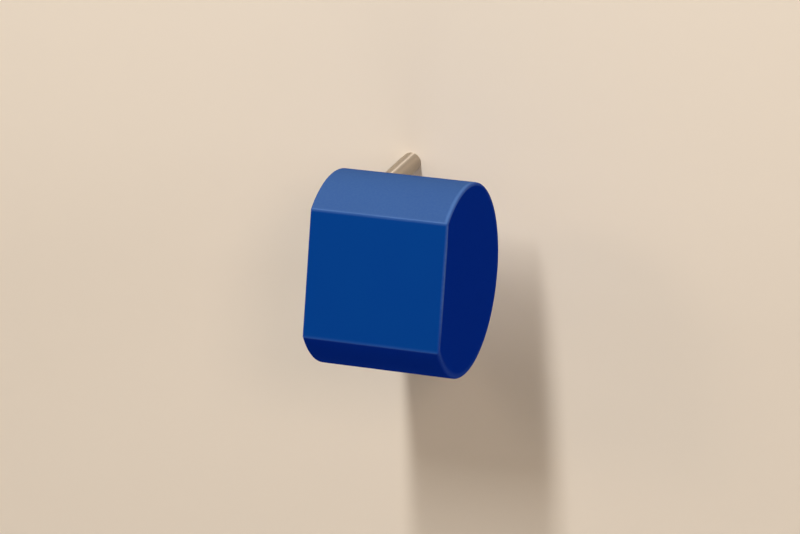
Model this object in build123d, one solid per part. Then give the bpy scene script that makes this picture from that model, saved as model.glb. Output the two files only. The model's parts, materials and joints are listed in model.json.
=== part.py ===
"""Watch holder that plugs into a pegboard.

A short round bar lies across the board. A tilted flat along its front carries the watch head, and the
closed strap slides on over the bar's free end and passes behind it. Two steel pegs, set in the bar's
back near the other end, plug into two holes of one column and hold the bar level and off the board.

Millimetres. The origin is midway between the pegs on the board's front face. +X runs along the bar to
its free end, +Y goes into the board and +Z is up.
"""

import os
from math import radians, sqrt, tan

from build123d import *

# Bar that the strap goes round
bar_diameter = 55.0
bar_length = 40.0
edge_radius = 0.7

# Flat for the watch head: how deep it is cut into the round, and how far it looks up, in degrees
flat_depth = 6.7
flat_tilt = 13.6

# Room behind the bar for the strap and its clasp
strap_gap = 22.5

# Pegs, one hole pitch apart, a sliding fit in 6 mm holes
hole_pitch = 30.0
peg_diameter = 5.8
peg_reach = 15.0
peg_inset = 5.6
tip_chamfer = 0.8

# Root of each peg, a little thicker, pressed into a drilled blind bore in the bar
root_step = 0.3
root_depth = 18.0
root_stand = 0.6
root_chamfer = 0.5
drill_point_angle = 118.0

bar_radius = bar_diameter / 2
bar_axis_y = -(strap_gap + bar_radius)
peg_radius = peg_diameter / 2
root_radius = peg_radius + root_step
peg_heights = {"upper_peg": hole_pitch / 2, "lower_peg": -hole_pitch / 2}


def bar_back(height):
    """Y of the bar's round back at a height above or below its axis."""
    return bar_axis_y + sqrt(bar_radius**2 - height**2)


# The bore is as deep as the root on the peg's own axis. The root ends just past the bar's back on the
# side nearest the bar's axis, where the back reaches furthest out.
root_start = bar_back(hole_pitch / 2) - root_depth
root_end = bar_back(hole_pitch / 2 - root_radius) + root_stand


def turned(outline):
    """Solid turned about the Y axis from one half of its outline, as (radius, y) points."""
    return revolve(Polygon(*outline, align=None), axis=Axis.Y)


def make_bore_cutter():
    """Drill that leaves a root's bore: a plain cylinder with the drill's point at its blind end."""
    point_length = root_radius / tan(radians(drill_point_angle / 2))
    return turned(
        [
            (0, root_start - point_length),
            (root_radius, root_start),
            (root_radius, root_end),
            (0, root_end),
        ]
    )


def make_bar():
    """Round bar with its flat, eased on every edge, then drilled from the back for the pegs."""
    beyond_flat = Pos(2 * bar_radius - flat_depth, 0) * Rectangle(bar_diameter, bar_diameter)
    section = Circle(bar_radius) - Rot(0, 0, 180 - flat_tilt) * beyond_flat
    left_end = Plane.YZ * Pos(bar_axis_y, 0, -peg_inset)
    bar = extrude(left_end * section, bar_length, dir=(1, 0, 0))
    bar = fillet(bar.edges(), edge_radius)
    for height in peg_heights.values():
        bar -= Pos(0, 0, height) * make_bore_cutter()
    return bar


def make_peg():
    """Turned steel peg along Y: chamfered root, a small cone down to the peg, and a chamfered tip."""
    return turned(
        [
            (0, root_start),
            (root_radius - root_chamfer, root_start),
            (root_radius, root_start + root_chamfer),
            (root_radius, root_end),
            (peg_radius, root_end + root_step),
            (peg_radius, peg_reach - tip_chamfer),
            (peg_radius - tip_chamfer, peg_reach),
            (0, peg_reach),
        ]
    )


solids = {"holder_body": make_bar()}
for name, height in peg_heights.items():
    solids[name] = Pos(0, 0, height) * make_peg()

os.makedirs("parts", exist_ok=True)
for name, solid in solids.items():
    export_step(solid, f"parts/{name}.step")
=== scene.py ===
"""Looks of a pegboard watch holder: a blue lacquered bar with a tilted flat, on two turned steel pegs.

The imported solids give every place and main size. The bar and the pegs are surfaces worked out with numpy,
each a function of two parameters on a grid, and they take the place of the solids.
Metres. +X runs along the bar to its free end, +Y along the pegs to their tips, and +Z is up.
"""
import json
import math

import bpy
import numpy as np
from mathutils import Matrix, Vector


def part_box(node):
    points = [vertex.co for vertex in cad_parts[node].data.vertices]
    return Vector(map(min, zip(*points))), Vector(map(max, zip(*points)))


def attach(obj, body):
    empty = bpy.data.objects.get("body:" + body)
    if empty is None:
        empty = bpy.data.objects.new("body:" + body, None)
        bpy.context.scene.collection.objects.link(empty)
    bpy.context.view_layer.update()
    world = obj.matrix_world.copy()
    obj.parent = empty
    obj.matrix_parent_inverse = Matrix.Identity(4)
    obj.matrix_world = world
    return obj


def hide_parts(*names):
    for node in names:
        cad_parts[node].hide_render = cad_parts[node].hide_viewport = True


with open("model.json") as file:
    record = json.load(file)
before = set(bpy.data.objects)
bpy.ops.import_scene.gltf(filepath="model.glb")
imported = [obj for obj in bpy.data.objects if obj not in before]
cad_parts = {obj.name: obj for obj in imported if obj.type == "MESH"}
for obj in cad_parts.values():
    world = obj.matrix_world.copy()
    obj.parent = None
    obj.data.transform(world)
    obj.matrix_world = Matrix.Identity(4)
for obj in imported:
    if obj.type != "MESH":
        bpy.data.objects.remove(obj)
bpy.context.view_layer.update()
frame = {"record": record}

# Sizes that the solids give
mounts = {mount["name"]: mount for mount in frame["record"]["mounts"]}
bar_low, bar_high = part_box("holder_body")
bar_radius = (bar_high.z - bar_low.z) / 2
bar_axis = np.array([bar_high.y - bar_radius, (bar_high.z + bar_low.z) / 2])
flat_facing = np.array(mounts["watch_rest"]["axis"][1:])
flat_distance = float((np.array(mounts["watch_rest"]["pos_m"][1:]) - bar_axis) @ flat_facing)
peg_mounts = {"lower_peg": "lower_board_peg", "upper_peg": "upper_board_peg"}

# Small forms. The bar's edges are rounded about as widely as the light lines in the photograph.
edge_radius = 0.0007
tip_chamfer = 0.0008
root_chamfer = 0.0005
turned_corner = 0.00018
bore_ease = 0.0003
glue_line = 0.00002
drill_half_angle = math.radians(59.0)

# Pale paint on the flat's two edges and round the free end, partly rubbing where the strap slides on and
# partly a painted highlight along the edge lines: how far it spreads onto the flat, the round and the end
# face, and how wide the rim of the end face is that carries the most
rub_and_highlight_on_flat = 0.0006
rub_and_highlight_on_round = 0.0005
rub_and_highlight_on_end = 0.0013
rub_and_highlight_rim_on_end = 0.00045

# Amount of rubbing and painted highlight where a rounded edge meets the flat and the round, on the end
# face's rim, and all along the end's upper edge
rub_and_highlight_at_flat = 0.70
rub_and_highlight_at_round = 0.20
rub_and_highlight_at_rim = 0.80
rub_and_highlight_at_top_of_end = 0.80

# Heights in bar radii between which the rim's rubbing and painted highlight run out. Then the side of the
# bar that carries the most, towards the front and top, where along that direction it starts and is full,
# and what is left elsewhere.
rim_range = (0.68, 0.82)
rub_and_highlight_facing = (-0.707, 0.707)
rub_and_highlight_range = (0.10, 0.85)
rub_and_highlight_least = 0.22

# How finely the bar is divided: the step over its skin, the steps round an edge, and the rings on an end
# face with the edge itself
skin_step = 0.0011
corner_steps = 10
cap_rings = 10

# Window in the bar's back that holds a bore's mouth: half its height, half its width, and the steps along
# each side. Then the rings from there to the mouth and round the mouth's ease, and the depths of those on
# the bore's wall, as shares.
window_reach = 0.0044
window_half_width = 0.0042
window_steps = 12
mouth_rings = 6
ease_rings = 5
wall_depths = (0.02, 0.3, 0.65, 1.0)

# How finely the pegs are divided: sides round a peg, and points round each turned corner
peg_sides = 96
turned_corner_points = 5

# Colours, linear
lacquer_blue = (0.0018, 0.0466, 0.2490, 1.0)
# Deeper blue for the ends, the back and the underside: painted shade on the faces turned from the lamps
lacquer_blue_painted_shade = (0.0003, 0.0197, 0.2370, 1.0)
# Pale blue on the rounded edges: partly paint thinned by rubbing, partly a painted highlight
rub_and_highlight_blue = (0.0950, 0.2050, 0.4800, 1.0)
# Pale greenish white on the upper round: a painted sheen from the overhead lamp, with thin dust
dust_and_sheen_pale = (0.684, 1.000, 0.700, 1.0)
steel_grey = (0.473, 0.406, 0.328, 1.0)
steel_grey_dull = (0.411, 0.344, 0.270, 1.0)
wall_beige = (0.793, 0.708, 0.600, 1.0)
studio_pale = (0.740, 0.650, 0.535, 1.0)
room_light = (1.000, 0.875, 0.750, 1.0)

# Painted shade and painted sheen on the paint: the front and top keep the lighter blue and the other faces
# the deeper one, which paints their shade, and a pale layer on the upper round paints the overhead lamp's
# sheen, with thin dust. For each, the way it faces, and where that starts and is full
painted_light_facing = (0.0, -0.6, 0.8)
painted_light_range = (0.38, 0.77)
dust_and_sheen_facing = (0.0, -0.17, 0.985)
upward_range = (0.50, 0.84)
dust_and_sheen_share = 0.055

# Patterns in the finishes: how often they change per metre along each axis, and how fine they get. Noise
# keeps mostly within noise_span.
paint_cloud = {"scale": (55, 55, 55), "detail": 3.0, "roughness": 0.55}
wood_grain = {"scale": (70, 900, 900), "detail": 4.0, "roughness": 0.6}
paint_spray = {"scale": (1500, 1500, 1500), "detail": 2.0, "roughness": 0.5}
turning_rings = {"scale": (15, 5200, 15), "detail": 2.0, "roughness": 0.6}
steel_smudge = {"scale": (160, 60, 160), "detail": 3.0, "roughness": 0.6}
noise_span = (0.3, 0.7)

# What the patterns change, from their low values to their high ones: the lighter blue over the painted
# shade, the pale layer of painted sheen and dust, the share of pale paint on edges, partly rubbing and
# partly a painted highlight, and the roughness of the paint and of the steel
painted_light_spread = (0.92, 1.0)
dust_and_sheen_spread = (0.92, 1.08)
rub_and_highlight_spread = (0.40, 0.56)
paint_roughness = (0.54, 0.62)
steel_roughness = (0.31, 0.36)

# Relief that the patterns give: strength and depth
grain_relief = (0.10, 0.00002)
spray_relief = (0.15, 0.00001)
ring_relief = (0.10, 0.00001)

# Gloss: next to none on the paint, with a little more on the rounded edges, and a strong one along the pegs
paint_specular = 0.0
paint_coat = 0.008
edge_coat = 0.06
coat_roughness = 0.32
coat_ior = 1.6
steel_metallic = 0.80
steel_anisotropy = 1.0

# Camera, solved from the photograph
camera_place = Vector((0.32670, -0.88937, 0.33851))
camera_forward = Vector((-0.32629, 0.87731, -0.35195))
camera_roll = math.radians(-0.816)
camera_lens = 154.18
camera_sensor = 36.0
camera_reach = 100.0

# Lamps: direction from the bar, distance, width and height, colour, and the light each gives a surface
# facing it
lamp_white = (1.00, 1.00, 1.00)
lamp_warm = (1.00, 0.82, 0.66)
lamps = {
    "overhead_strip": {
        "towards": (-0.058, -0.590, 0.808), "distance": 1.10, "size": (0.08, 0.60),
        "colour": lamp_white, "level": 0.855},
    "right_softbox": {
        "towards": (0.499, -0.744, 0.444), "distance": 1.40, "size": (0.30, 0.30),
        "colour": lamp_warm, "level": 0.16},
    "left_softbox": {
        "towards": (-0.552, -0.664, 0.505), "distance": 1.40, "size": (0.30, 0.30),
        "colour": lamp_warm, "level": 0.09},
    "free_side_softbox": {
        "towards": (0.960, -0.130, 0.250), "distance": 1.20, "size": (0.40, 0.40),
        "colour": lamp_white, "level": 0.24},
    "held_side_softbox": {
        "towards": (-0.960, -0.130, 0.250), "distance": 1.20, "size": (0.40, 0.40),
        "colour": lamp_white, "level": 0.20},
    "low_softbox": {
        "towards": (0.050, -0.150, -0.988), "distance": 0.90, "size": (0.40, 0.24),
        "colour": lamp_white, "level": 0.28},
}
room_level = 0.115

# Not seen in reflections, where it would draw a second line along each peg
lamps_without_gloss = {"free_side_softbox"}

# Stage: height of the floor, radius and points of the sweep from floor to wall, how far the floor comes
# forward, the wall goes up and both go sideways, its finish, and the distances from the origin between
# which it fades into the background
floor_level = -1.10
sweep_radius = 0.30
sweep_points = 25
floor_reach = 12.0
wall_top = 4.0
stage_half_width = 8.0
stage_roughness = 0.9
stage_specular = 0.1
stage_fade = (0.35, 1.20)

# Sockets of the Mix node for a factor and two colours, and for the colour that comes out
mix_factor = 0
mix_first = 6
mix_second = 7
mix_result = 2


# Mesh helpers

def grid_quads(index):
    """Quads between neighbouring rows of vertex numbers, index[row, column]. Each row is a closed ring."""
    here = index[:-1]
    above = index[1:]
    return np.stack([here, np.roll(here, -1, axis=1), np.roll(above, -1, axis=1), above], axis=-1)


def fan(ring, pole, reverse):
    """Triangles from each pair of neighbours on a closed ring to one pole vertex."""
    after = np.roll(ring, -1)
    pole_column = np.full_like(ring, pole)
    first, second = (after, ring) if reverse else (ring, after)
    return np.stack([first, second, pole_column], axis=-1)


def without_repeats(polygons):
    """Faces that name no corner twice in a row: a quad with one repeat becomes a triangle, others go."""
    sound = []
    for faces in polygons:
        repeats = faces == np.roll(faces, -1, axis=1)
        lost = repeats.sum(axis=1)
        sound.append(faces[lost == 0])
        if faces.shape[1] == 4:
            sound.append(faces[lost == 1][~repeats[lost == 1]].reshape(-1, 3))
    return sound


def make_piece(name, points, normals, polygons, material):
    """A mesh object from whole arrays, with smooth normals, and the numbers of the points that it uses."""
    polygons = without_repeats(polygons)
    used, numbers = np.unique(np.concatenate([p.ravel() for p in polygons]), return_inverse=True)
    starts = np.cumsum([0] + [p.size for p in polygons])
    faces = []
    for start, stop, polygon in zip(starts[:-1], starts[1:], polygons):
        faces += numbers[start:stop].reshape(polygon.shape).tolist()
    mesh = bpy.data.meshes.new(name)
    mesh.from_pydata(points[used].tolist(), [], faces)
    mesh.polygons.foreach_set("use_smooth", np.ones(len(faces), bool))
    mesh.normals_split_custom_set_from_vertices(normals[used].tolist())
    mesh.materials.append(material)
    piece = bpy.data.objects.new(name, mesh)
    bpy.context.scene.collection.objects.link(piece)
    return piece, used


def face_sizes(mesh):
    """How many corners each face has."""
    sizes = np.empty(len(mesh.polygons), int)
    mesh.polygons.foreach_get("loop_total", sizes)
    return sizes


def face_first_corner(mesh):
    """The number of each face's first corner."""
    first = np.empty(len(mesh.polygons), int)
    mesh.polygons.foreach_get("loop_start", first)
    return first


def mark_points(piece, name, values):
    """A number on each vertex of a piece, for its finish to read."""
    mark = piece.data.attributes.new(name, "FLOAT", "POINT")
    mark.data.foreach_set("value", values.astype(np.float32))


def eased_share(values, start_and_full):
    """0 up to the start, 1 from the full value on, and 3t^2 - 2t^3 between them."""
    start, full = start_and_full
    t = np.clip((values - start) / (full - start), 0, 1)
    return t ** 2 * (3 - 2 * t)


# The bar

def rub_and_highlight_across(rise, beside):
    """Rubbing and painted highlight across a rounded edge: what is beside it where the rise is 0, and 1
    where it is 1.
    """
    return beside + (1 - beside) * rise


def bar_outline(window_angles):
    """Outline across the bar, as points set in by the edge radius and the outward direction at each.

    The outline is a circle cut by a chord. Set in by the edge radius it is q(s), and q(s) + edge * n(s) is
    the finished line. Round the bar n points away from the axis, along the flat it is the flat's facing,
    and at each of the two corners q stays while n turns from the one to the other. Also gives the pale edge
    paint at each point, partly rubbing and partly a painted highlight, the column where each bore's window
    begins, and the columns where q stays, for each corner.
    """
    core = bar_radius - edge_radius
    facing = math.atan2(flat_facing[1], flat_facing[0])
    half = math.acos((flat_distance - edge_radius) / core)
    stops = [facing + half] + [angle for pair in window_angles for angle in pair]
    stops += [facing + 2 * math.pi - half]
    rub_and_highlight_angle = rub_and_highlight_on_round / bar_radius
    round_angles = np.array([stops[0], stops[0] + rub_and_highlight_angle])
    window_columns = []
    for number, (start, stop) in enumerate(zip(stops[:-1], stops[1:])):
        is_window = number % 2 == 1
        if is_window:
            window_columns.append(len(round_angles))
        steps = window_steps if is_window else round(bar_radius * (stop - start) / skin_step)
        angles = np.linspace(start, stop, steps, endpoint=False)
        round_angles = np.append(round_angles, angles if number else angles[1:])
    round_angles = np.append(round_angles, stops[-1] - rub_and_highlight_angle)
    share = np.arange(corner_steps) / corner_steps
    flat_width = 2 * core * math.sin(half)
    rub_and_highlight_flat_share = rub_and_highlight_on_flat / flat_width
    flat_share = np.linspace(rub_and_highlight_flat_share, 1 - rub_and_highlight_flat_share, round(flat_width / skin_step))
    flat_share = np.insert(flat_share, 0, 0.0)
    flat_steps = len(flat_share)
    turn = np.concatenate([
        round_angles,
        facing - half + half * share,
        np.full(flat_steps, facing),
        facing + half * share,
    ])
    upper = facing - half
    lower = facing + half
    flat_start = np.array([math.cos(upper), math.sin(upper)])
    flat_end = np.array([math.cos(lower), math.sin(lower)])
    inset = core * np.concatenate([
        np.stack([np.cos(round_angles), np.sin(round_angles)], axis=-1),
        np.tile(flat_start, (corner_steps, 1)),
        flat_start + flat_share[:, None] * (flat_end - flat_start),
        np.tile(flat_end, (corner_steps, 1)),
    ])
    outward = np.stack([np.cos(turn), np.sin(turn)], axis=-1)
    rise = np.sin(math.pi * share)
    rub_and_highlight = np.concatenate([
        [rub_and_highlight_at_round], np.zeros(len(round_angles) - 1),
        rub_and_highlight_across(rise, rub_and_highlight_at_round + (rub_and_highlight_at_flat - rub_and_highlight_at_round) * share),
        [rub_and_highlight_at_flat], np.zeros(flat_steps - 1),
        rub_and_highlight_across(rise, rub_and_highlight_at_flat + (rub_and_highlight_at_round - rub_and_highlight_at_flat) * share),
    ])
    upper_corner = len(round_angles) + np.arange(corner_steps + 1)
    lower_corner = np.append(upper_corner[:-1] + corner_steps + flat_steps, 0)
    return inset, outward, rub_and_highlight, window_columns, [upper_corner, lower_corner]


def bar_run():
    """Stations along the bar: place x(t), share k(t) of the inset outline and turn b(t) of the surface.

    On the two end faces b is a quarter turn, and k goes from the middle out to 1, in even rings up to where
    the pale edge paint starts and then one at the rim that carries the most. On the eased edges b goes
    between a quarter turn and 0, which moves x by edge * (1 - |sin b|), and along the side b is 0. Also
    gives the stations of the held end's edge and of the free end's, and the one where each bore's window
    begins.
    """
    start = bar_low.x + edge_radius
    stop = bar_high.x - edge_radius

    # The held end's edge is one short step from the windows
    stops = [start, -window_half_width, window_half_width, stop]
    steps = [1, window_steps, round((stop - window_half_width) / skin_step)]
    side = np.concatenate([
        np.linspace(a, b, n, endpoint=False) for a, b, n in zip(stops[:-1], stops[1:], steps)
    ])
    side = np.append(side, stop - rub_and_highlight_on_round)

    out = np.arange(1, cap_rings - 1) * (1 - rub_and_highlight_on_end / bar_radius) / (cap_rings - 2)
    out = np.append(out, 1 - rub_and_highlight_rim_on_end / bar_radius)
    quarter = np.linspace(-math.pi / 2, 0, corner_steps, endpoint=False)
    back = -quarter[::-1]
    place = np.concatenate([
        np.full(cap_rings - 1, bar_low.x),
        start + edge_radius * np.sin(quarter),
        side,
        [stop],
        stop + edge_radius * np.sin(back),
        np.full(cap_rings - 1, bar_high.x),
    ])
    share = np.concatenate([out, np.ones(2 * corner_steps + len(side) + 1), out[::-1]])
    turn = np.concatenate([
        np.full(cap_rings - 1, -math.pi / 2), quarter, np.zeros(len(side) + 1), back,
        np.full(cap_rings - 1, math.pi / 2),
    ])
    held_end = slice(cap_rings - 1, cap_rings + corner_steps)
    free_end = slice(-cap_rings - corner_steps, 1 - cap_rings)
    window_row = cap_rings + corner_steps
    return place, share, turn, held_end, free_end, window_row


def back_of_bar(height):
    """Y of the bar's back at a height: the axis plus the root of radius squared less height squared."""
    return bar_axis[0] + np.sqrt(bar_radius ** 2 - (height - bar_axis[1]) ** 2)


def bore_skin(border, hole, bore_radius, bore_floor):
    """Rings from a window's border in the bar's back to the bottom of a drilled blind bore.

    Seen along the bore, each point of the border keeps its direction from the bore's middle. First its
    distance shrinks to the mouth while it stays on the round back, then a quarter round of bore_ease turns
    into the bore, then the wall goes straight down to the floor, where the drill's point closes it.
    """
    offset = border[:, [0, 2]] - hole
    reach = np.hypot(offset[:, 0], offset[:, 1])
    away = offset / reach[:, None]
    mouth = bore_radius + bore_ease
    shrink = np.arange(1, mouth_rings + 1)[:, None] / mouth_rings
    turn = np.linspace(0, math.pi / 2, ease_rings + 1)[1:, None]
    deep = np.array(wall_depths)[:, None]
    distance = np.concatenate([
        reach + shrink * (mouth - reach),
        np.tile(bore_radius + bore_ease * (1 - np.sin(turn)), (1, len(border))),
        np.full((len(deep), len(border)), bore_radius),
    ])
    flat_place = hole + distance[..., None] * away
    skin = back_of_bar(flat_place[..., 1])
    sunk = np.concatenate([
        np.zeros((len(shrink), len(border))),
        np.tile(bore_ease * (1 - np.cos(turn)), (1, len(border))),
        bore_ease + deep * (skin[-1] - bore_ease - bore_floor),
    ])
    points = np.stack([flat_place[..., 0], skin - sunk, flat_place[..., 1]], axis=-1)
    height = flat_place[..., 1] - bar_axis[1]
    round_normal = np.stack([np.zeros_like(skin), skin - bar_axis[0], height], axis=-1) / bar_radius
    bore_normal = -np.stack([away[:, 0], np.zeros(len(away)), away[:, 1]], axis=-1)
    lean = np.concatenate([np.zeros(len(shrink)), turn[:, 0], np.full(len(deep), math.pi / 2)])
    lean = lean[:, None, None]
    normals = np.cos(lean) * round_normal + np.sin(lean) * bore_normal
    normals /= np.linalg.norm(normals, axis=-1, keepdims=True)
    point = np.array([hole[0], bore_floor - bore_radius / math.tan(drill_half_angle), hole[1]])
    return points, normals, point


def bar_rub_and_highlight(inset, outward, corner_rub_and_highlight, turn, held_end, free_end):
    """Rubbing and painted highlight at each station and outline point, full only towards the bar's front
    and top.

    Along the side it is the corners' amount times cos b. Across the free end's edge it is sin^2 b or, on
    its upper edge, one even amount that is mostly a painted highlight line, and lower down it goes on over
    the end face's rim. On the held end's edge it is the least amount times sin^2 b.
    """
    side = inset / np.linalg.norm(inset, axis=-1, keepdims=True)
    reached = rub_and_highlight_least + (1 - rub_and_highlight_least) * eased_share(side @ np.array(rub_and_highlight_facing), rub_and_highlight_range)
    rub_and_highlight = np.cos(turn)[:, None] * corner_rub_and_highlight * reached
    upper = eased_share(outward[:, 1], upward_range)
    rise = np.sin(turn)[:, None] ** 2
    edge_rub_and_highlight = upper * rub_and_highlight_at_top_of_end + (1 - upper) * rise
    rub_and_highlight[free_end] = np.maximum(rub_and_highlight[free_end], edge_rub_and_highlight[free_end] * reached)
    rim = free_end.stop
    rub_and_highlight[rim] = (1 - eased_share(side[:, 1], rim_range)) * rub_and_highlight_at_rim * reached
    rub_and_highlight[held_end] = np.maximum(rub_and_highlight[held_end], rise[held_end] * rub_and_highlight_least)
    return rub_and_highlight


def make_bar(material):
    """The bar: its inset outline swelled by a ball of the edge radius, with a bore for each peg.

    At station t and outline point s the surface is x(t) along the bar, and across it
    k(t) * q(s) + edge * cos b(t) * n(s). Its normal is (sin b, cos b * n). So every edge is a true round,
    and no seam shows.
    """
    holes = [np.array(mounts[mount]["pos_m"])[[0, 2]] for mount in peg_mounts.values()]
    window_angles = [
        [2 * math.pi + math.asin((hole[1] + side * window_reach - bar_axis[1]) / bar_radius)
         for side in (-1, 1)]
        for hole in holes
    ]
    inset, outward, corner_rub_and_highlight, window_columns, corners = bar_outline(window_angles)
    place, share, turn, held_end, free_end, window_row = bar_run()
    rows = len(place)
    columns = len(inset)
    across = bar_axis + share[:, None, None] * inset + edge_radius * np.cos(turn)[:, None, None] * outward
    points = np.concatenate([np.broadcast_to(place[:, None, None], (rows, columns, 1)), across], axis=-1)
    normals = np.concatenate([
        np.broadcast_to(np.sin(turn)[:, None, None], (rows, columns, 1)),
        np.cos(turn)[:, None, None] * outward,
    ], axis=-1)
    rubbed_and_highlit = bar_rub_and_highlight(inset, outward, corner_rub_and_highlight, turn, held_end, free_end)

    # On the end faces all points of a corner are one vertex
    index = np.arange(rows * columns).reshape(rows, columns)
    end_rows = np.r_[:cap_rings, rows - cap_rings:rows]
    for corner in corners:
        index[np.ix_(end_rows, corner)] = index[end_rows, corner[0]][:, None]
    quads = grid_quads(index)
    kept = np.ones(quads.shape[:2], bool)
    all_points = [points.reshape(-1, 3)]
    all_normals = [normals.reshape(-1, 3)]
    all_rubbed_and_highlit = [rubbed_and_highlit.reshape(-1)]
    polygons = []

    # Each bore takes a window out of the grid and closes it again
    count = rows * columns
    last_row = window_row + window_steps
    for peg, hole, column in zip(peg_mounts, holes, window_columns):
        last_column = column + window_steps
        kept[window_row:last_row, column:last_column] = False
        border = np.concatenate([
            index[window_row, column:last_column],
            index[window_row:last_row, last_column],
            index[last_row, last_column:column:-1],
            index[last_row:window_row:-1, column],
        ])
        peg_low, peg_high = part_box(peg)
        bore_radius = (peg_high.x - peg_low.x) / 2 + glue_line
        ring_points, ring_normals, point = bore_skin(
            points.reshape(-1, 3)[border], hole, bore_radius, peg_low.y)
        rings = len(ring_points)
        ring_index = count + np.arange(rings * len(border)).reshape(rings, len(border))
        whole = np.concatenate([border[None], ring_index])
        polygons.append(grid_quads(whole).reshape(-1, 4))
        count += rings * len(border)
        polygons.append(fan(whole[-1], count, False))
        count += 1
        all_points += [ring_points.reshape(-1, 3), point[None]]
        all_normals += [ring_normals.reshape(-1, 3), np.array([[0.0, 1.0, 0.0]])]
        all_rubbed_and_highlit.append(np.zeros(rings * len(border) + 1))

    # A pole closes each end face
    polygons.append(quads[kept])
    polygons.append(fan(index[0], count, True))
    polygons.append(fan(index[-1], count + 1, False))
    ends = [[bar_low.x, *bar_axis], [bar_high.x, *bar_axis]]
    all_points.append(np.array(ends))
    all_normals.append(np.array([[-1.0, 0.0, 0.0], [1.0, 0.0, 0.0]]))
    all_rubbed_and_highlit.append(np.zeros(len(ends)))
    all_points = np.concatenate(all_points)
    all_normals = np.concatenate(all_normals)
    piece, used = make_piece("lacquered_bar", all_points, all_normals, polygons, material)
    # Pale edges: partly paint thinned by rubbing, partly a painted highlight along the edge lines
    mark_points(piece, "rub_and_highlight_edge", np.concatenate(all_rubbed_and_highlit)[used])
    facing = all_normals[used]
    # The faded mark is 1 on the front and top and 0 on the other faces, which get the painted shade
    mark_points(piece, "faded", eased_share(facing @ np.array(painted_light_facing), painted_light_range))
    # Pale layer on the upper round: painted sheen from the overhead lamp, with thin dust
    mark_points(piece, "dust_and_painted_sheen", eased_share(facing @ np.array(dust_and_sheen_facing), upward_range))
    return piece


# The pegs

def soften(corners, ease):
    """A line through corners, each inner one rounded: (1-u)^2 * before + 2u(1-u) * corner + u^2 * after.

    The points before and after lie at the distance ease from the corner, towards its neighbours.
    """
    corners = np.array(corners)
    inner = corners[1:-1, None]
    before = corners[:-2, None] - inner
    after = corners[2:, None] - inner
    before = ease * before / np.linalg.norm(before, axis=-1, keepdims=True)
    after = ease * after / np.linalg.norm(after, axis=-1, keepdims=True)
    u = np.linspace(0, 1, turned_corner_points)[None, :, None]
    rounded = inner + (1 - u) ** 2 * before + u ** 2 * after
    return np.concatenate([corners[:1], rounded.reshape(-1, 2), corners[-1:]])


def make_peg(node, mount, material):
    """A peg turned about its axis: (r(t) cos a, y(t), r(t) sin a) from its outline (y, r), poles closed."""
    low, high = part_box(node)
    centre = np.array(mounts[mount]["pos_m"])
    radius = mounts[mount]["dims"]["r_mm"] / 1000
    length = mounts[mount]["dims"]["length_mm"] / 1000
    root_radius = (high.x - low.x) / 2
    shank_start = high.y - tip_chamfer - length
    root_end = shank_start - (root_radius - radius)
    outline = soften([
        (low.y, 0.0),
        (low.y, root_radius - root_chamfer),
        (low.y + root_chamfer, root_radius),
        (root_end, root_radius),
        (shank_start, radius),
        (high.y - tip_chamfer, radius),
        (high.y, radius - tip_chamfer),
        (high.y, 0.0),
    ], turned_corner)
    along = outline[1:-1]
    slope = np.gradient(outline, axis=0)[1:-1]
    slope /= np.linalg.norm(slope, axis=-1, keepdims=True)
    angle = np.arange(peg_sides) * 2 * math.pi / peg_sides
    wheel = np.stack([np.cos(angle), np.zeros(peg_sides), np.sin(angle)], axis=-1)
    axis = np.array([0.0, 1.0, 0.0])
    points = along[:, 1, None, None] * wheel + along[:, 0, None, None] * axis
    points += np.array([centre[0], 0.0, centre[2]])
    normals = slope[:, 0, None, None] * wheel - slope[:, 1, None, None] * axis
    rows = len(along)
    index = np.arange(rows * peg_sides).reshape(rows, peg_sides)
    quads = grid_quads(index)[:, :, ::-1]
    count = rows * peg_sides
    polygons = [quads.reshape(-1, 4), fan(index[0], count, False), fan(index[-1], count + 1, True)]
    poles = np.array([[centre[0], low.y, centre[2]], [centre[0], high.y, centre[2]]])
    all_points = np.concatenate([points.reshape(-1, 3), poles])
    all_normals = np.concatenate([normals.reshape(-1, 3), [-axis, axis]])
    piece, used = make_piece("turned_" + node, all_points, all_normals, polygons, material)

    # The map runs along the peg and round it, and is unbroken within each face
    corner_vertex = np.empty(len(piece.data.loops), int)
    piece.data.loops.foreach_get("vertex_index", corner_vertex)
    corner = all_points[used][corner_vertex]
    around = np.arctan2(corner[:, 2] - centre[2], corner[:, 0] - centre[0]) / (2 * math.pi)
    face_start = np.repeat(face_first_corner(piece.data), face_sizes(piece.data))
    around += np.round(around[face_start] - around)
    wrap = piece.data.uv_layers.new(name="along_and_round")
    places = np.stack([corner[:, 1] / length, around], axis=-1)
    wrap.data.foreach_set("uv", places.astype(np.float32).ravel())
    return piece


# Finishes

def add_node(tree, kind, **settings):
    """A shader node with the named settings."""
    node = tree.nodes.new(kind)
    for name, value in settings.items():
        setattr(node, name, value)
    return node


def new_finish(name):
    """A material with its tree, its shader and Object coordinates."""
    material = bpy.data.materials.new(name)
    material.use_nodes = True
    tree = material.node_tree
    shader = tree.nodes["Principled BSDF"]
    place = add_node(tree, "ShaderNodeTexCoord").outputs["Object"]
    return material, tree, shader, place


def speckle(tree, place, scale, detail, roughness):
    """Noise over Object coordinates that changes as often per metre, along each axis, as the scale says."""
    mapping = add_node(tree, "ShaderNodeMapping")
    mapping.inputs["Scale"].default_value = scale
    noise = add_node(tree, "ShaderNodeTexNoise")
    noise.inputs["Scale"].default_value = 1.0
    noise.inputs["Detail"].default_value = detail
    noise.inputs["Roughness"].default_value = roughness
    tree.links.new(place, mapping.inputs["Vector"])
    tree.links.new(mapping.outputs["Vector"], noise.inputs["Vector"])
    return noise.outputs["Fac"]


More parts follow.
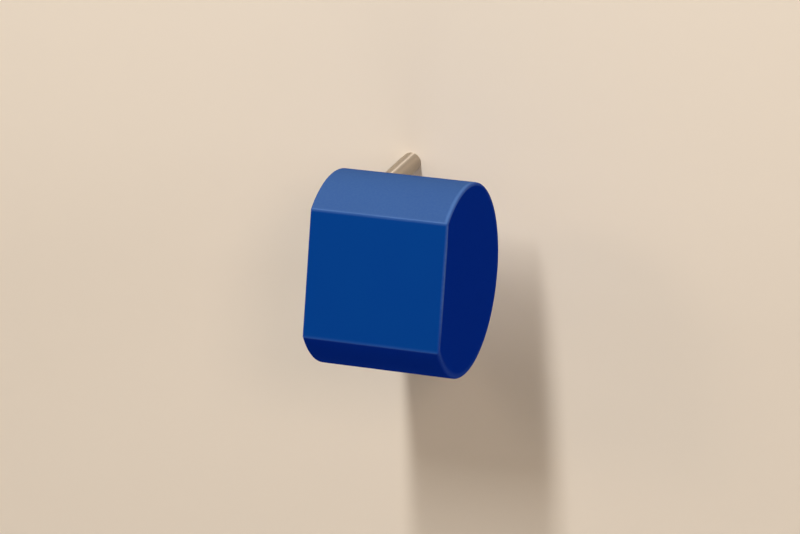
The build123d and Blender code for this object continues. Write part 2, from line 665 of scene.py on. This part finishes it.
def spread(tree, value, low_and_high):
    """Noise within its usual span taken to the range from low to high."""
    reach = add_node(tree, "ShaderNodeMapRange")
    reach.inputs["From Min"].default_value, reach.inputs["From Max"].default_value = noise_span
    reach.inputs["To Min"].default_value, reach.inputs["To Max"].default_value = low_and_high
    tree.links.new(value, reach.inputs["Value"])
    return reach.outputs["Result"]


def mixed_colour(tree, factor, first, second):
    """A colour between two others; each is a fixed colour or another node's output."""
    mix = add_node(tree, "ShaderNodeMix", data_type="RGBA")
    tree.links.new(factor, mix.inputs[mix_factor])
    for socket, colour in ((mix.inputs[mix_first], first), (mix.inputs[mix_second], second)):
        if isinstance(colour, tuple):
            socket.default_value = colour
        else:
            tree.links.new(colour, socket)
    return mix.outputs[mix_result]


def relief(tree, shader, layers):
    """Bump layers, one on the other, into the shader's normal: each a height, with strength and depth."""
    normal = None
    for height, (strength, depth) in layers:
        bump = add_node(tree, "ShaderNodeBump")
        bump.inputs["Strength"].default_value = strength
        bump.inputs["Distance"].default_value = depth
        tree.links.new(height, bump.inputs["Height"])
        if normal is not None:
            tree.links.new(normal, bump.inputs["Normal"])
        normal = bump.outputs["Normal"]
    tree.links.new(normal, shader.inputs["Normal"])


def read_mark(tree, name):
    """A number that the mesh carries on its vertices."""
    return add_node(tree, "ShaderNodeAttribute", attribute_name=name).outputs["Fac"]


def scaled(tree, value, factor, extra):
    """value * factor + extra, where factor may be a fixed number or another node's output."""
    maths = add_node(tree, "ShaderNodeMath", operation="MULTIPLY_ADD")
    tree.links.new(value, maths.inputs[0])
    if isinstance(factor, float):
        maths.inputs[1].default_value = factor
    else:
        tree.links.new(factor, maths.inputs[1])
    maths.inputs[2].default_value = extra
    return maths.outputs["Value"]


def blue_lacquer():
    """Matte blue lacquer over turned wood.

    The front and the top are a lighter blue, and the ends, the back and the underside a deeper, purer blue
    that paints their shade. A pale layer on the upper round paints the overhead lamp's sheen, with thin
    dust.
    Faint grain and a fine spray texture show in the paint, and its edges are paler and smooth, partly paint
    thinned by rubbing and partly a painted highlight.
    """
    material, tree, shader, place = new_finish("blue_lacquer")
    cloud = speckle(tree, place, **paint_cloud)
    grain = speckle(tree, place, **wood_grain)
    spray = speckle(tree, place, **paint_spray)
    edge = read_mark(tree, "rub_and_highlight_edge")

    # Lighter blue where the faded mark is 1, and painted shade in the deeper blue elsewhere
    lit_side_share = scaled(tree, read_mark(tree, "faded"), spread(tree, cloud, painted_light_spread), 0.0)
    paint = mixed_colour(tree, lit_side_share, lacquer_blue_painted_shade, lacquer_blue)
    # Pale layer of painted sheen and thin dust on the upper round
    dust_and_sheen_film = scaled(tree, read_mark(tree, "dust_and_painted_sheen"), spread(tree, spray, dust_and_sheen_spread), 0.0)
    paint_with_dust_and_sheen = mixed_colour(tree, scaled(tree, dust_and_sheen_film, dust_and_sheen_share, 0.0), paint, dust_and_sheen_pale)
    # Pale edges: partly rubbing, partly a painted highlight
    rub_and_highlight_mix = scaled(tree, edge, spread(tree, grain, rub_and_highlight_spread), 0.0)
    tree.links.new(mixed_colour(tree, rub_and_highlight_mix, paint_with_dust_and_sheen, rub_and_highlight_blue), shader.inputs["Base Color"])

    tree.links.new(spread(tree, cloud, paint_roughness), shader.inputs["Roughness"])
    shader.inputs["Specular IOR Level"].default_value = paint_specular
    tree.links.new(scaled(tree, edge, edge_coat, paint_coat), shader.inputs["Coat Weight"])
    shader.inputs["Coat Roughness"].default_value = coat_roughness
    shader.inputs["Coat IOR"].default_value = coat_ior
    relief(tree, shader, [(grain, grain_relief), (spray, spray_relief)])
    return material


def turned_steel():
    """Satin steel off the lathe: fine rings round each peg draw the light out along it in a narrow line."""
    material, tree, shader, place = new_finish("turned_steel")
    rings = speckle(tree, place, **turning_rings)
    smudge = speckle(tree, place, **steel_smudge)
    colour = mixed_colour(tree, spread(tree, smudge, (0.0, 1.0)), steel_grey, steel_grey_dull)
    tree.links.new(colour, shader.inputs["Base Color"])
    shader.inputs["Metallic"].default_value = steel_metallic
    tree.links.new(spread(tree, smudge, steel_roughness), shader.inputs["Roughness"])
    shader.inputs["Anisotropic"].default_value = steel_anisotropy
    along = add_node(tree, "ShaderNodeTangent", direction_type="UV_MAP", uv_map="along_and_round")
    tree.links.new(along.outputs["Tangent"], shader.inputs["Tangent"])
    relief(tree, shader, [(rings, ring_relief)])
    return material


def seen_directly(tree):
    """1 for what is seen straight on, in a reflection or through glass, and 0 for light on its way."""
    ray = add_node(tree, "ShaderNodeLightPath")
    seen = ray.outputs["Is Camera Ray"]
    for kind in ("Is Glossy Ray", "Is Transmission Ray"):
        either = add_node(tree, "ShaderNodeMath", operation="MAXIMUM")
        tree.links.new(seen, either.inputs[0])
        tree.links.new(ray.outputs[kind], either.inputs[1])
        seen = either.outputs["Value"]
    return seen


def chosen(tree, factor, first, second):
    """The first shader where the factor is 0 and the second where it is 1."""
    mix = add_node(tree, "ShaderNodeMixShader")
    tree.links.new(factor, mix.inputs["Fac"])
    tree.links.new(first, mix.inputs[1])
    tree.links.new(second, mix.inputs[2])
    return mix.outputs["Shader"]


def one_sided_stage():
    """Plain pale stage that fades into the background far off and lets the view through from behind."""
    material, tree, shader, place = new_finish("plain_pale_stage")
    shader.inputs["Base Color"].default_value = wall_beige
    shader.inputs["Roughness"].default_value = stage_roughness
    shader.inputs["Specular IOR Level"].default_value = stage_specular
    distance = add_node(tree, "ShaderNodeVectorMath", operation="LENGTH")
    tree.links.new(place, distance.inputs[0])
    far_off = add_node(tree, "ShaderNodeMapRange", interpolation_type="SMOOTHSTEP")
    far_off.inputs["From Min"].default_value, far_off.inputs["From Max"].default_value = stage_fade
    tree.links.new(distance.outputs["Value"], far_off.inputs["Value"])
    background = add_node(tree, "ShaderNodeEmission")
    background.inputs["Color"].default_value = studio_pale
    faded = scaled(tree, far_off.outputs["Result"], seen_directly(tree), 0.0)
    front = chosen(tree, faded, shader.outputs["BSDF"], background.outputs["Emission"])
    clear = add_node(tree, "ShaderNodeBsdfTransparent").outputs["BSDF"]
    behind = add_node(tree, "ShaderNodeNewGeometry").outputs["Backfacing"]
    surface = chosen(tree, behind, front, clear)
    tree.links.new(surface, tree.nodes["Material Output"].inputs["Surface"])
    return material


# Stage, light and camera

def make_stage():
    """Floor and wall in one: a line along the floor, a quarter circle, and a line up the plane y = 0."""
    turn = np.linspace(0, math.pi / 2, sweep_points)
    sweep = np.stack([
        sweep_radius * (np.sin(turn) - 1), floor_level + sweep_radius * (1 - np.cos(turn)),
    ], axis=-1)
    line = np.concatenate([[[-floor_reach, floor_level]], sweep, [[0.0, wall_top]]])
    width = np.array([-stage_half_width, stage_half_width])
    points = np.stack([
        np.broadcast_to(width, (len(line), 2)),
        np.broadcast_to(line[:, :1], (len(line), 2)),
        np.broadcast_to(line[:, 1:], (len(line), 2)),
    ], axis=-1).reshape(-1, 3)
    index = np.arange(len(points)).reshape(len(line), 2)
    faces = np.stack([index[:-1, 0], index[:-1, 1], index[1:, 1], index[1:, 0]], axis=-1)
    mesh = bpy.data.meshes.new("pale_stage")
    mesh.from_pydata(points.tolist(), [], faces.tolist())
    mesh.polygons.foreach_set("use_smooth", np.ones(len(faces), bool))
    mesh.materials.append(one_sided_stage())
    stage = bpy.data.objects.new("pale_stage", mesh)
    bpy.context.scene.collection.objects.link(stage)


def make_lamps():
    """Softboxes. One of power P at distance d gives a facing surface about P / (pi d)^2 of its colour."""
    middle = Vector((0.0, float(bar_axis[0]), float(bar_axis[1])))
    for name, lamp in lamps.items():
        light = bpy.data.lights.new(name, "AREA")
        light.shape = "RECTANGLE"
        light.size, light.size_y = lamp["size"]
        light.color = lamp["colour"]
        light.energy = lamp["level"] * (math.pi * lamp["distance"]) ** 2
        towards = Vector(lamp["towards"]).normalized()
        softbox = bpy.data.objects.new(name, light)
        softbox.location = middle + lamp["distance"] * towards
        softbox.rotation_euler = towards.to_track_quat("Z", "Y").to_euler()
        softbox.visible_glossy = name not in lamps_without_gloss
        bpy.context.scene.collection.objects.link(softbox)


def make_room():
    """Even light from all round, and a pale background where the view or a reflection passes the stage."""
    world = bpy.data.worlds.new("studio")
    world.use_nodes = True
    tree = world.node_tree
    light = tree.nodes["Background"]
    light.inputs["Color"].default_value = room_light
    light.inputs["Strength"].default_value = room_level
    seen = add_node(tree, "ShaderNodeBackground")
    seen.inputs["Color"].default_value = studio_pale
    sky = chosen(tree, seen_directly(tree), light.outputs["Background"], seen.outputs["Background"])
    tree.links.new(sky, tree.nodes["World Output"].inputs["Surface"])
    bpy.context.scene.world = world


def make_camera():
    """Camera at the photograph's place, looking its way, with its small roll."""
    lens = bpy.data.cameras.new("photo_camera")
    lens.lens = camera_lens
    lens.sensor_width = camera_sensor
    lens.clip_end = camera_reach
    camera = bpy.data.objects.new("photo_camera", lens)
    look = camera_forward.to_track_quat("-Z", "Y").to_matrix().to_4x4()
    camera.matrix_world = Matrix.Translation(camera_place) @ look @ Matrix.Rotation(camera_roll, 4, "Z")
    bpy.context.scene.collection.objects.link(camera)
    bpy.context.scene.camera = camera


# The object

lacquer = blue_lacquer()
steel = turned_steel()

bar = make_bar(lacquer)
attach(bar, "root")
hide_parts("holder_body")

for node, mount in peg_mounts.items():
    peg = make_peg(node, mount, steel)
    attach(peg, "root")
    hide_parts(node)

make_stage()
make_lamps()
make_room()
make_camera()
bpy.context.scene.view_settings.view_transform = "Standard"
